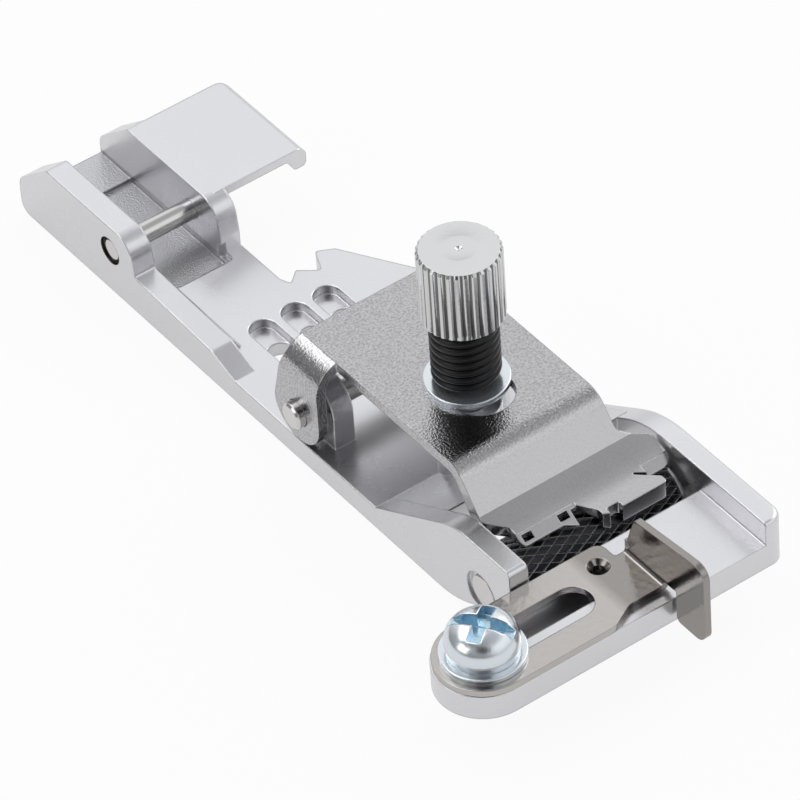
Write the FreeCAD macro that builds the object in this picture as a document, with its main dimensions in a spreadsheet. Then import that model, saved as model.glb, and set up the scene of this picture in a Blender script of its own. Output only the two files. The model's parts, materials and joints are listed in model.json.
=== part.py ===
"""Sewing machine presser foot with an elastic feeder.

A cast foot body snaps onto the machine's ankle by its cross pin. A hinged spring plate presses
the elastic onto a knurled roller, a thumbscrew and a coil spring set how hard, and a folded
sliding guide on the front bar sets the width of the elastic.

Millimetres, +Z up. The origin lies on the sole, below the middle of the snap pin. The toe of
the foot points along -Y and its heel along +Y. Lengths named "ahead" run from the snap pin
towards the toe, and "behind" from the snap pin towards the heel. Across the foot, positions
are measured from the flat left side of the casting.
"""
import FreeCAD, Part
import math
import os
import re
import Sketcher

SIZES = {
    # Casting: ears and heel
    "left_ear": 2.1,
    "ear_gap": 6.05,
    "right_ear": 1.95,
    "ear_top": 7.2,
    "heel_behind": 13.45,
    "heel_radius": 1.1,
    "heel_shoulder": 3.5,
    "ear_slope_behind": 8.95,
    "ear_front_ahead": 3.4,
    "right_ear_front_ahead": 4.1,
    "ear_front_radius": 2.0,
    "ear_front_lean": 0.4,
    "heel_corner_radius": 1.8,
    "ear_rear_radius": 0.8,
    # Casting: deck, rim and wing
    "deck_top": 2.2,
    "rim_top": 3.8,
    "rim_end_top": 3.3,
    "rim_end_ahead": 14.25,
    "rim_foot_ahead": 17.35,
    "rim_foot": 0.8,
    "pocket_floor": 1.4,
    "heel_floor": 1.75,
    "pocket_front_ahead": 5.15,
    "pocket_step_behind": 9.05,
    "pocket_widening": 0.5,
    "pocket_corner_radius": 0.4,
    "pocket_shoulder_radius": 0.7,
    "body_width": 20.7,
    "wing_start_ahead": 10.65,
    "wing_front_ahead": 17.75,
    "wing_corner_radius": 1.0,
    "wing_shoulder_x": 15.8,
    "wing_shoulder_ahead": 9.5,
    "prong_tip_x": 14.3,
    "prong_tip_ahead": 8.7,
    "prong_root_x": 13.4,
    "prong_root_ahead": 10.95,
    "hook_tip_x": 11.7,
    "hook_tip_ahead": 9.6,
    "prong_radius": 0.3,
    "hook_radius": 0.2,
    "ear_gusset": 0.4,
    # Casting: thumb tab on the right ear
    "tab_right": 18.4,
    "tab_front_ahead": 2.35,
    "tab_sheet": 0.8,
    "tab_lip": 2.0,
    "tab_corner_radius": 1.5,
    "tab_lip_width": 1.9,
    "tab_lip_edge": 1.2,
    "tab_lip_lean": 0.1,
    "tab_lip_radius": 0.5,
    "tab_edge_radius": 0.9,
    # Needle slots
    "slot_width": 2.45,
    "slot_first": 5.45,
    "slot_pitch": 3.22,
    "slot_rear_ahead": 12.55,
    "slot_length": 8.0,
    "slot_ledge": 2.4,
    "slot_ledge_top": 1.3,
    # Ramp and side walls of the roller bay
    "ramp_foot_ahead": 36.55,
    "ramp_crest_ahead": 43.85,
    "ramp_crest": 6.1,
    "ramp_wall": 1.9,
    "wall_top": 8.2,
    "wall_crest_ahead": 47.35,
    "wall_crest_radius": 6.0,
    "left_wall": 1.84,
    "right_wall": 2.0,
    "right_wall_foot_ahead": 37.5,
    "right_wall_crest_radius": 10.0,
    "right_wall_edge_radius": 0.4,
    "wall_front_ahead": 54.45,
    "wall_front_radius": 0.5,
    "sole_curve_ahead": 46.75,
    "sole_curve_radius": 9.0,
    "sole_front_radius": 1.0,
    # Front bar
    "bar_front_ahead": 62.75,
    "bar_bottom": 3.6,
    "bar_top": 5.95,
    "bar_corner_radius": 1.4,
    "groove_front_ahead": 58.95,
    "groove_rear_ahead": 55.6,
    "groove_depth": 1.6,
    "groove_left": -2.8,
    "groove_right": 8.2,
    # Snap pin
    "snap_pin": 1.85,
    "snap_pin_level": 4.5,
    "snap_ring": 2.6,
    "snap_ring_depth": 0.35,
    # Hinge of the spring plate
    "hinge_ahead": 26.55,
    "hinge_level": 5.4,
    "hinge_pin": 2.4,
    "hinge_pin_stand_out": 0.8,
    "pin_chamfer": 0.2,
    "lug_width": 1.95,
    "lug_radius": 2.6,
    "lug_to_cheek": 0.68,
    # Spring plate
    "plate_sheet": 0.95,
    "plate_top": 11.5,
    "plate_left": 2.1,
    "plate_width": 13.9,
    "plate_rear_ahead": 24.7,
    "plate_bend_ahead": 45.15,
    "plate_bend_radius": 2.4,
    "plate_crease_ahead": 47.85,
    "plate_crease": 8.2,
    "shoe_dip_ahead": 50.2,
    "shoe_dip": 7.3,
    "shoe_dip_radius": 8.0,
    "shoe_front_ahead": 53.05,
    "shoe_front": 7.15,
    "shoe_bevel_ahead": 50.45,
    "shoe_bevel_slope": 0.6,
    "comb_left": 3.65,
    "comb_left_ahead": 48.4,
    "comb_heel_ahead": 49.7,
    "comb_front_ahead": 51.45,
    "comb_turn": 7.6,
    "comb_right": 10.9,
    "comb_window_first": 4.0,
    "comb_window_pitch": 3.5,
    "comb_window_width": 0.95,
    "comb_window_rear_ahead": 50.65,
    "comb_window_front_ahead": 51.2,
    "comb_bay_left": 8.75,
    "comb_bay_bend": 9.3,
    "comb_bay_right": 10.4,
    "comb_bay_rear_ahead": 50.75,
    "comb_bay_side_ahead": 52.2,
    "tongue_dent_left": 10.95,
    "tongue_dent_width": 1.25,
    "tongue_dent_ahead": 52.45,
    "tongue_right": 16.6,
    "tongue_rear_ahead": 52.3,
    "tongue_radius": 0.6,
    "shoe_right": 18.5,
    "shoulder_ahead": 47.3,
    "shoulder_end_ahead": 48.6,
    "shoe_right_radius": 0.9,
    "tongue_notch_left": 14.8,
    "tongue_notch_right": 15.9,
    "tongue_notch_ahead": 50.6,
    "tongue_notch_width": 0.35,
    "tongue_notch_radius": 0.08,
    "second_tongue_ahead": 51.35,
    "cheek_to_plate": 2.2,
    "cheek_front_ahead": 29.35,
    "cheek_rear_ahead": 23.4,
    "cheek_bottom": 2.5,
    "cheek_bend_radius": 2.8,
    "cheek_lean_radius": 2.0,
    "screw_window": 5.4,
    "screw_window_front_ahead": 42.15,
    "screw_window_rear_ahead": 35.0,
    "roller_gap": 0.35,
    # Thumbscrew, coil spring and washer
    "thumbscrew_x": 8.9,
    "thumbscrew_ahead": 37.55,
    "screw": 3.0,
    "screw_bore_gap": 0.05,
    "boss": 5.4,
    "boss_top": 9.4,
    "knob": 6.9,
    "knob_bottom": 18.5,
    "knob_height": 6.8,
    "knob_chamfer": 0.3,
    "knob_ridges": 30,
    "knob_groove_depth": 0.22,
    "knob_groove_half_width": 0.36,
    "thumbscrew_end": 4.0,
    "washer": 7.0,
    "washer_bore": 3.2,
    "washer_sheet": 0.5,
    "spring_outer": 5.65,
    "spring_wire": 0.72,
    "spring_turns": 7,
    "seat_gap": 0.02,
    # Roller and its axle
    "roller_ahead": 50.55,
    "roller_level": 3.4,
    "roller": 5.8,
    "roller_side_gap": 0.35,
    "axle": 2.8,
    "axle_ring": 3.8,
    "axle_ring_depth": 0.4,
    "axle_sink": 0.15,
    "running_gap": 0.05,
    # Sliding guide
    "guide_sheet": 0.6,
    "guide_rear_clearance": 0.15,
    "guide_shoulder_x": 3.9,
    "guide_shoulder_radius": 1.5,
    "guide_neck_x": 6.2,
    "guide_neck_front_ahead": 61.55,
    "guide_fold_x": 10.2,
    "guide_fold_radius": 0.9,
    "guide_relief_x": 8.6,
    "guide_relief_end_ahead": 56.6,
    "guide_slot": 3.5,
    "guide_slot_right": 4.65,
    "guide_dimple_x": 6.9,
    "guide_dimple_ahead": 56.7,
    "guide_dimple": 1.85,
    "guide_dimple_hole": 1.1,
    "guide_dimple_depth": 0.4,
    "guide_dimple_dish": 0.4,
    "fence_front_ahead": 66.6,
    "fence_rear_ahead": 57.85,
    "fence_rear_top": 10.7,
    "fence_front_top": 11.7,
    "fence_bottom": 3.8,
    "fence_hang_ahead": 63.0,
    "fence_corner_radius": 1.2,
    # Guide screw and its washers
    "guide_screw_x": -5.7,
    "guide_head": 6.0,
    "guide_head_height": 2.3,
    "guide_head_rim": 0.9,
    "guide_recess_width": 0.9,
    "guide_recess_length": 3.8,
    "guide_recess_depth": 1.1,
    "lock_washer": 5.8,
    "lock_washer_sheet": 0.7,
    "lock_washer_split": 0.45,
    # Small roundings, and how far a cut runs past what it cuts
    "small_radius": 0.3,
    "soft_radius": 0.5,
    "overrun": 1.0,
}

doc = FreeCAD.newDocument("presser_foot")
sheet = doc.addObject("Spreadsheet::Sheet", "Sizes")
for row, (name, value) in enumerate(SIZES.items(), 1):
    sheet.set(f"A{row}", name)
    sheet.set(f"B{row}", str(value))
    sheet.setAlias(f"B{row}", name)
doc.recompute()


def bound(text):
    """The expression with each size's name read from the sheet."""
    return re.sub(r"\b[a-z]\w+\b", lambda word: "Sizes." + word[0] if word[0] in SIZES else word[0], text)


def size(text):
    """The present value of an expression of sizes."""
    return float(sheet.evalExpression(bound(text)))


def tie(item, prop, text):
    """Bind a property of an object to an expression of sizes."""
    item.setExpression(prop, bound(text))


def new_body(label, x="0", y="0", z="0"):
    """A body placed across from the left side, along from the snap pin and up from the sole."""
    body = doc.addObject("PartDesign::Body", label)
    body.Label = label
    tie(body, "Placement.Base.x", f"{x} - left_ear - ear_gap / 2")
    tie(body, "Placement.Base.y", y)
    tie(body, "Placement.Base.z", z)
    return body


def new_sketch(body, name, plane, offset="0"):
    """A sketch on one of the body's own planes, moved along the plane's normal."""
    sketch = body.newObject("Sketcher::SketchObject", name)
    origin = next(item for item in body.Origin.OriginFeatures if item.Role == plane)
    sketch.AttachmentSupport = [(origin, "")]
    sketch.MapMode = "FlatFace"
    tie(sketch, "AttachmentOffset.Base.z", offset)
    return sketch


def pin_point(sketch, geometry, position, x, y):
    """Hold a point of a sketch at the place that two expressions give."""
    for kind, text in (("DistanceX", x), ("DistanceY", y)):
        index = sketch.addConstraint(
            Sketcher.Constraint(kind, -1, 1, geometry, position, size(text)))
        sketch.setExpression(f"Constraints[{index}]", bound(text))


def outline(sketch, corners):
    """A closed outline through corners (x, y) or (x, y, radius of the rounded corner).

    A corner (x, y, None, centre x, centre y) is followed by an anticlockwise arc about that centre.
    """
    places = [FreeCAD.Vector(size(corner[0]), size(corner[1]), 0) for corner in corners]
    count = len(corners)
    ends = []
    for index, corner in enumerate(corners):
        here = places[index]
        if len(corner) != 3:
            ends.append((here, here))
            continue
        before = (places[index - 1] - here).normalize()
        after = (places[(index + 1) % count] - here).normalize()
        half = before.getAngle(after) / 2
        reach = size(corner[2]) / math.tan(half)
        ends.append((here + before * reach, here + after * reach))
    sides = []
    for index, corner in enumerate(corners):
        start = ends[index][1]
        stop = ends[(index + 1) % count][0]
        if len(corner) < 5:
            sides.append(sketch.addGeometry(Part.LineSegment(start, stop), False))
            continue
        centre = FreeCAD.Vector(size(corner[3]), size(corner[4]), 0)
        sides.append(add_arc(sketch, centre, start, stop))
        chord = stop - start
        kind, text, value = ("DistanceX", corner[3], centre.x)
        if abs(chord.x) > abs(chord.y):
            kind, text, value = ("DistanceY", corner[4], centre.y)
        held = sketch.addConstraint(Sketcher.Constraint(kind, -1, 1, sides[-1], 3, value))
        sketch.setExpression(f"Constraints[{held}]", bound(text))
    for index, corner in enumerate(corners):
        first = sides[index - 1]
        second = sides[index]
        if len(corner) != 3:
            sketch.addConstraint(Sketcher.Constraint("Coincident", first, 2, second, 1))
            pin_point(sketch, second, 1, corner[0], corner[1])
            continue
        here = places[index]
        entry, leave = ends[index]
        middle = ((entry - here) + (leave - here)).normalize()
        half = (entry - here).getAngle(leave - here) / 2
        centre = here + middle * (size(corner[2]) / math.sin(half))
        turns_left = (here - entry).cross(leave - here).z > 0
        begin, finish = (entry, leave) if turns_left else (leave, entry)
        arc = add_arc(sketch, centre, begin, finish)
        entry_end, leave_end = (1, 2) if turns_left else (2, 1)
        sketch.addConstraint(Sketcher.Constraint("Tangent", first, 2, arc, entry_end))
        sketch.addConstraint(Sketcher.Constraint("Tangent", second, 1, arc, leave_end))
        held = sketch.addConstraint(Sketcher.Constraint("Radius", arc, size(corner[2])))
        sketch.setExpression(f"Constraints[{held}]", bound(corner[2]))
        corner_point = sketch.addGeometry(Part.Point(here), True)
        pin_point(sketch, corner_point, 1, corner[0], corner[1])
        sketch.addConstraint(Sketcher.Constraint("PointOnObject", corner_point, 1, first))
        sketch.addConstraint(Sketcher.Constraint("PointOnObject", corner_point, 1, second))


def add_arc(sketch, centre, start, stop):
    """An anticlockwise arc about a centre, from one point to another."""
    angles = [math.atan2(spot.y - centre.y, spot.x - centre.x) for spot in (start, stop)]
    circle = Part.Circle(centre, FreeCAD.Vector(0, 0, 1), (start - centre).Length)
    return sketch.addGeometry(Part.ArcOfCircle(circle, angles[0], angles[1]), False)


def long_slot(sketch, x, y, end_x, end_y, width):
    """A slot with round ends about two centres, the second to the right of or above the first."""
    if size(end_x) > size(x):
        corners = [
            (x, f"{y} + {width} / 2", None, x, y),
            (x, f"{y} - {width} / 2"),
            (end_x, f"{end_y} - {width} / 2", None, end_x, end_y),
            (end_x, f"{end_y} + {width} / 2"),
        ]
    else:
        corners = [
            (f"{x} - {width} / 2", y, None, x, y),
            (f"{x} + {width} / 2", y),
            (f"{end_x} + {width} / 2", end_y, None, end_x, end_y),
            (f"{end_x} - {width} / 2", end_y),
        ]
    outline(sketch, corners)


def round_hole(sketch, x, y, diameter):
    """A circle in a sketch, held by its centre and its diameter."""
    centre = FreeCAD.Vector(size(x), size(y), 0)
    ring = sketch.addGeometry(
        Part.Circle(centre, FreeCAD.Vector(0, 0, 1), size(diameter) / 2), False)
    pin_point(sketch, ring, 3, x, y)
    held = sketch.addConstraint(Sketcher.Constraint("Diameter", ring, size(diameter)))
    sketch.setExpression(f"Constraints[{held}]", bound(diameter))


def settle(body):
    """Recompute, and stop where the body's last feature or its sketch has failed."""
    doc.recompute()
    for item in body.Group:
        if "Invalid" in item.State or "Error" in item.State:
            raise RuntimeError(f"{item.Label} did not recompute")
    if body.Shape.Solids and not body.Shape.isValid():
        raise RuntimeError(f"{body.Label} is not sound after {body.Tip.Label}")


def pad(body, name, sketch, length):
    """Add material from a sketch along its plane's normal."""
    feature = body.newObject("PartDesign::Pad", name)
    feature.Profile = sketch
    tie(feature, "Length", length)
    settle(body)
    return feature


def pocket(body, name, sketch, length):
    """Cut from a sketch against its plane's normal, and make sure that something was cut."""
    before = body.Shape.Volume
    feature = body.newObject("PartDesign::Pocket", name)
    feature.Profile = sketch
    tie(feature, "Length", length)
    settle(body)
    if not body.Shape.Volume < before:
        raise RuntimeError(f"{name} cuts nothing")
    return feature


def revolve(body, name, sketch):
    """Turn a sketch right round the body's own Z axis."""
    feature = body.newObject("PartDesign::Revolution", name)
    feature.Profile = sketch
    axis = next(item for item in body.Origin.OriginFeatures if item.Role == "Z_Axis")
    feature.ReferenceAxis = (axis, [""])
    feature.Angle = 360
    settle(body)
    return feature


def picked_edges(base, chosen):
    """The names of the edges that the test picks by their middle point and box."""
    names = []
    for number, edge in enumerate(base.Shape.Edges, 1):
        middle = edge.valueAt((edge.FirstParameter + edge.LastParameter) / 2)
        if chosen(middle, edge.BoundBox):
            names.append(f"Edge{number}")
    return names


def round_edges(body, name, radius, chosen):
    """Round the edges of the body that the test picks by their middle point and box."""
    base = body.Tip
    names = picked_edges(base, chosen)
    feature = body.newObject("PartDesign::Fillet", name)
    feature.Base = (base, names)
    tie(feature, "Radius", radius)
    settle(body)
    return feature


def bevel_edges(body, name, width, chosen):
    """Chamfer the edges of the body that the test picks by their middle point and box."""
    base = body.Tip
    names = picked_edges(base, chosen)
    feature = body.newObject("PartDesign::Chamfer", name)
    feature.Base = (base, names)
    tie(feature, "Size", width)
    settle(body)


def near(value, text):
    """Whether a length is the value of an expression of sizes."""
    return abs(value - size(text)) < 0.01


# Foot body: one casting. The deck, the heel and the ears come first.
foot = new_body("foot_body")

EAR_OUTSIDE = "(left_ear + ear_gap + right_ear)"
deck = new_sketch(foot, "deck_outline", "XY_Plane")
outline(deck, [
    ("0", "0"),
    ("0", "-ramp_foot_ahead"),
    ("body_width", "-ramp_foot_ahead"),
    ("body_width", "-wing_front_ahead", "wing_corner_radius"),
    ("wing_shoulder_x", "-wing_shoulder_ahead", "soft_radius"),
    ("prong_tip_x", "-prong_tip_ahead", "prong_radius"),
    ("prong_root_x", "-prong_root_ahead", "prong_radius"),
    ("hook_tip_x", "-hook_tip_ahead", "hook_radius"),
    (f"{EAR_OUTSIDE} + ear_gusset", "-wing_start_ahead", "hook_radius"),
    (EAR_OUTSIDE, "-wing_start_ahead + overrun"),
    (EAR_OUTSIDE, "0"),
])
pad(foot, "deck", deck, "deck_top")

heel = new_sketch(foot, "heel_profile", "YZ_Plane")
outline(heel, [
    ("-overrun", "0"),
    ("heel_behind", "0", "heel_radius"),
    ("heel_behind", "deck_top"),
    ("-overrun", "deck_top"),
])
pad(foot, "heel", heel, EAR_OUTSIDE)

left_side = new_sketch(foot, "left_ear_profile", "YZ_Plane")
outline(left_side, [
    ("-rim_foot_ahead - overrun", "deck_top / 2"),
    ("heel_behind", "deck_top / 2"),
    ("heel_behind", "heel_shoulder", "heel_corner_radius"),
    ("ear_slope_behind", "ear_top", "ear_rear_radius"),
    ("-ear_front_ahead + ear_front_lean", "ear_top", "ear_front_radius"),
    ("-ear_front_ahead", "rim_top", "small_radius"),
    ("-rim_end_ahead", "rim_end_top", "wing_corner_radius"),
    ("-rim_foot_ahead", "deck_top"),
    ("-rim_foot_ahead - overrun", "deck_top"),
])
pad(foot, "left_ear_and_rim", left_side, "left_ear")

rim = new_sketch(foot, "rim_slope_section", "XZ_Plane", "ear_front_ahead")
outline(rim, [
    ("left_ear / 2", "deck_top / 2"),
    ("left_ear + rim_foot", "deck_top / 2"),
    ("left_ear + rim_foot", "deck_top"),
    ("left_ear", "rim_end_top"),
    ("left_ear / 2", "rim_end_top"),
])
pad(foot, "rim_slope", rim, "rim_end_ahead - ear_front_ahead")

right_side = new_sketch(foot, "right_ear_profile", "YZ_Plane", "left_ear + ear_gap")
outline(right_side, [
    ("-right_ear_front_ahead", "deck_top / 2"),
    ("heel_behind", "deck_top / 2"),
    ("heel_behind", "heel_shoulder", "heel_corner_radius"),
    ("ear_slope_behind", "ear_top", "ear_rear_radius"),
    ("-right_ear_front_ahead + ear_front_lean", "ear_top", "ear_front_radius"),
    ("-right_ear_front_ahead", "rim_top"),
])
pad(foot, "right_ear_cheek", right_side, "right_ear")

# The flat thumb tab on the right ear, with its rounded lip turned down.
tab = new_sketch(foot, "tab_profile", "XZ_Plane", "-ear_slope_behind")
outline(tab, [
    ("left_ear + ear_gap + right_ear / 2", "ear_top"),
    ("left_ear + ear_gap + right_ear / 2", "ear_top - tab_sheet"),
    ("tab_right - tab_lip_width", "ear_top - tab_sheet", "tab_lip_radius"),
    ("tab_right - tab_lip_lean - tab_lip_edge", "ear_top - tab_lip", "tab_lip_radius"),
    ("tab_right - tab_lip_lean", "ear_top - tab_lip", "tab_lip_radius"),
    ("tab_right", "ear_top", "tab_edge_radius"),
])
pad(foot, "tab", tab, "ear_slope_behind + tab_front_ahead")
tab_corner = new_sketch(foot, "tab_corner_outline", "XY_Plane", "ear_top + overrun")
outline(tab_corner, [
    ("tab_right - 2 * tab_corner_radius", "ear_slope_behind"),
    ("tab_right", "ear_slope_behind", "tab_corner_radius"),
    ("tab_right", "ear_slope_behind - 2 * tab_corner_radius"),
    ("tab_right + overrun", "ear_slope_behind - 2 * tab_corner_radius"),
    ("tab_right + overrun", "ear_slope_behind + overrun"),
    ("tab_right - 2 * tab_corner_radius", "ear_slope_behind + overrun"),
])
pocket(foot, "tab_corner", tab_corner, "tab_lip + 2 * overrun")

# The ramp that leads the elastic down, and the two side walls of the roller bay.
ramp = new_sketch(foot, "ramp_profile", "YZ_Plane")
outline(ramp, [
    ("-ramp_foot_ahead + overrun", "0"),
    ("-ramp_foot_ahead + overrun", "deck_top"),
    ("-ramp_foot_ahead", "deck_top"),
    ("-ramp_crest_ahead", "ramp_crest"),
    ("-ramp_crest_ahead", "ramp_crest - ramp_wall"),
    ("-ramp_foot_ahead", "0"),
])
pad(foot, "ramp", ramp, "body_width - right_wall / 2")

left_wall = new_sketch(foot, "left_wall_profile", "YZ_Plane")
outline(left_wall, [
    ("-ramp_foot_ahead + overrun", "0"),
    ("-ramp_foot_ahead + overrun", "deck_top"),
    ("-ramp_foot_ahead", "deck_top"),
    ("-wall_crest_ahead", "wall_top", "wall_crest_radius"),
    ("-wall_front_ahead", "wall_top", "wall_front_radius"),
    ("-wall_front_ahead", "(bar_bottom + bar_top) / 2"),
    ("-wall_front_ahead - overrun", "(bar_bottom + bar_top) / 2"),
    ("-wall_front_ahead - overrun", "bar_bottom"),
    ("-wall_front_ahead", "bar_bottom", "sole_front_radius"),
    ("-sole_curve_ahead", "0", "sole_curve_radius"),
])
pad(foot, "left_wall_of_bay", left_wall, "left_wall")

right_wall = new_sketch(foot, "right_wall_profile", "YZ_Plane", "body_width - right_wall")
outline(right_wall, [
    ("-ramp_foot_ahead + overrun", "0"),
    ("-ramp_foot_ahead + overrun", "deck_top"),
    ("-right_wall_foot_ahead", "deck_top"),
    ("-wall_crest_ahead", "wall_top", "right_wall_crest_radius"),
    ("-bar_front_ahead", "wall_top"),
    ("-bar_front_ahead", "bar_bottom"),
    ("-wall_front_ahead", "bar_bottom", "sole_front_radius"),
    ("-sole_curve_ahead", "0", "sole_curve_radius"),
])
pad(foot, "right_wall_of_bay", right_wall, "right_wall")

# The front bar: a rounded left end about the guide screw, and the groove that leads the guide.
bar = new_sketch(foot, "bar_outline", "XY_Plane", "bar_bottom")
BAR_MIDDLE = "(bar_front_ahead + wall_front_ahead) / 2"
outline(bar, [
    ("guide_screw_x", "-wall_front_ahead", None, "guide_screw_x", f"-{BAR_MIDDLE}"),
    ("guide_screw_x", "-bar_front_ahead"),
    ("body_width", "-bar_front_ahead"),
    ("body_width", "-wall_front_ahead"),
])
pad(foot, "bar", bar, "bar_top - bar_bottom")

round_edges(foot, "bar_corner", "bar_corner_radius", lambda middle, box: (
    near(middle.x, "body_width") and near(middle.y, "-bar_front_ahead") and box.ZLength > 1))
round_edges(foot, "right_wall_edge", "right_wall_edge_radius", lambda middle, box: (
    near(middle.x, "body_width") and near(middle.z, "wall_top") and box.YLength > 1))

groove = new_sketch(foot, "guide_groove", "XY_Plane", "bar_top")
outline(groove, [
    ("groove_left", "-groove_rear_ahead"),
    ("groove_left", "-groove_front_ahead"),
    ("groove_right", "-groove_front_ahead"),
    ("groove_right", "-groove_rear_ahead"),
])
pocket(foot, "groove", groove, "groove_depth")

# Lugs for the hinge pin, and the threaded boss under the spring plate.
PLATE_CENTRE = "(plate_left + plate_width / 2)"
CHEEK_INNER = "(plate_width / 2 + cheek_to_plate - plate_sheet)"
for side, start in (("left", f"{PLATE_CENTRE} - {CHEEK_INNER} + lug_to_cheek"),
                    ("right", f"{PLATE_CENTRE} + {CHEEK_INNER} - lug_to_cheek - lug_width")):
    lug = new_sketch(foot, f"{side}_lug_profile", "YZ_Plane", start)
    outline(lug, [
        ("-hinge_ahead - lug_radius", "deck_top / 2"),
        ("-hinge_ahead + lug_radius", "deck_top / 2"),
        ("-hinge_ahead + lug_radius", "hinge_level", None, "-hinge_ahead", "hinge_level"),
        ("-hinge_ahead - lug_radius", "hinge_level"),
    ])
    pad(foot, f"{side}_lug", lug, "lug_width")

boss = new_sketch(foot, "boss_outline", "XY_Plane", "deck_top")
round_hole(boss, "thumbscrew_x", "-thumbscrew_ahead", "boss")
pad(foot, "boss_post", boss, "boss_top - deck_top")

# Pocket between the ears, with a lower floor round the snap pin.
saddle = new_sketch(foot, "saddle_outline", "XY_Plane", "deck_top + overrun")
outline(saddle, [
    ("left_ear", "heel_behind + overrun"),
    ("left_ear", "-ear_front_ahead"),
    ("left_ear + rim_foot", "-pocket_front_ahead", "pocket_shoulder_radius"),
    ("left_ear + ear_gap + pocket_widening", "-pocket_front_ahead", "pocket_corner_radius"),
    ("left_ear + ear_gap + pocket_widening", "-right_ear_front_ahead"),
    ("left_ear + ear_gap", "-right_ear_front_ahead + pocket_widening"),
    ("left_ear + ear_gap", "heel_behind + overrun"),
])
pocket(foot, "saddle", saddle, "deck_top + overrun - heel_floor")

well = new_sketch(foot, "well_outline", "XY_Plane", "deck_top")
outline(well, [
    ("left_ear", "pocket_step_behind"),
    ("left_ear", "-ear_front_ahead"),
    ("left_ear + rim_foot", "-pocket_front_ahead", "pocket_shoulder_radius"),
    ("left_ear + ear_gap", "-pocket_front_ahead", "pocket_corner_radius"),
    ("left_ear + ear_gap", "pocket_step_behind"),
])
pocket(foot, "well", well, "deck_top - pocket_floor")

# Three needle slots, each with a ledge inside and a shorter opening through the sole.
for number in range(3):
    middle = f"slot_first + {number} * slot_pitch"
    front = "-slot_rear_ahead - slot_length + slot_width / 2"
    rear = "-slot_rear_ahead - slot_width / 2"
    upper = new_sketch(foot, f"slot_{number}", "XY_Plane", "deck_top")
    long_slot(upper, middle, front, middle, rear, "slot_width")
    pocket(foot, f"slot_cut_{number}", upper, "deck_top - slot_ledge_top")
    lower = new_sketch(foot, f"slot_opening_{number}", "XY_Plane", "slot_ledge_top")
    long_slot(lower, middle, front, middle, f"{rear} - slot_ledge", "slot_width")
    pocket(foot, f"slot_opening_cut_{number}", lower, "slot_ledge_top + overrun")

# Bores: snap pin, hinge pin, roller axle, thumbscrew and guide screw.
bores = (
    ("snap_bore", "0", "snap_pin_level", "snap_pin"),
    ("hinge_bore", "-hinge_ahead", "hinge_level", "hinge_pin"),
    ("axle_bore", "-roller_ahead", "roller_level", "axle"),
)
for name, along, up, diameter in bores:
    bore = new_sketch(foot, f"{name}_circle", "YZ_Plane", "body_width + overrun")
    round_hole(bore, along, up, diameter)
    pocket(foot, name, bore, "body_width + 2 * overrun")

rings = (
    ("snap_ring_left", "0", "snap_pin_level", "snap_ring", "snap_ring_depth"),
    ("axle_ring_left", "-roller_ahead", "roller_level", "axle_ring", "axle_ring_depth"),
)
for name, along, up, diameter, depth in rings:
    ring = new_sketch(foot, f"{name}_circle", "YZ_Plane", depth)
    round_hole(ring, along, up, diameter)
    pocket(foot, name, ring, f"{depth} + overrun")

for name, x, ahead, top, floor in (
        ("thumbscrew_bore", "thumbscrew_x", "thumbscrew_ahead", "boss_top", "0"),
        ("guide_screw_bore", "guide_screw_x", BAR_MIDDLE, "bar_top", "bar_bottom")):
    bore = new_sketch(foot, f"{name}_circle", "XY_Plane", f"{top} + overrun")
    round_hole(bore, x, f"-{ahead}", "screw + 2 * screw_bore_gap")
    pocket(foot, name, bore, f"{top} - {floor} + 2 * overrun")

# Snap pin, pressed through both ears. Its left end sits back in the ring recess.
pin = new_body("snap_pin", "snap_ring_depth / 2", "0", "snap_pin_level")
circle = new_sketch(pin, "snap_pin_circle", "YZ_Plane")
round_hole(circle, "0", "0", "snap_pin")
pad(pin, "snap_pin_rod", circle, f"{EAR_OUTSIDE} - snap_ring_depth / 2")

# Spring plate: side profile across the full width, trimmed to its plan, then the two cheeks.
plate = new_body("pressure_plate")
side = new_sketch(plate, "plate_profile", "YZ_Plane", "plate_left")
outline(side, [
    ("-plate_rear_ahead", "plate_top"),
    ("-plate_bend_ahead", "plate_top", "plate_bend_radius"),
    ("-plate_crease_ahead", "plate_crease"),
    ("-shoe_dip_ahead", "shoe_dip", "shoe_dip_radius"),
    ("-shoe_front_ahead", "shoe_front"),
    ("-shoe_front_ahead", "roller_level + roller / 4"),
    ("-roller_ahead", "roller_level + roller / 2"),
    ("-plate_crease_ahead + plate_sheet", "plate_crease - plate_sheet"),
    ("-plate_bend_ahead + plate_sheet / 2", "plate_top - plate_sheet", "plate_bend_radius - plate_sheet"),
    ("-plate_rear_ahead", "plate_top - plate_sheet"),
])
pad(plate, "plate_sheet_bent", side, "shoe_right - plate_left")

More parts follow.
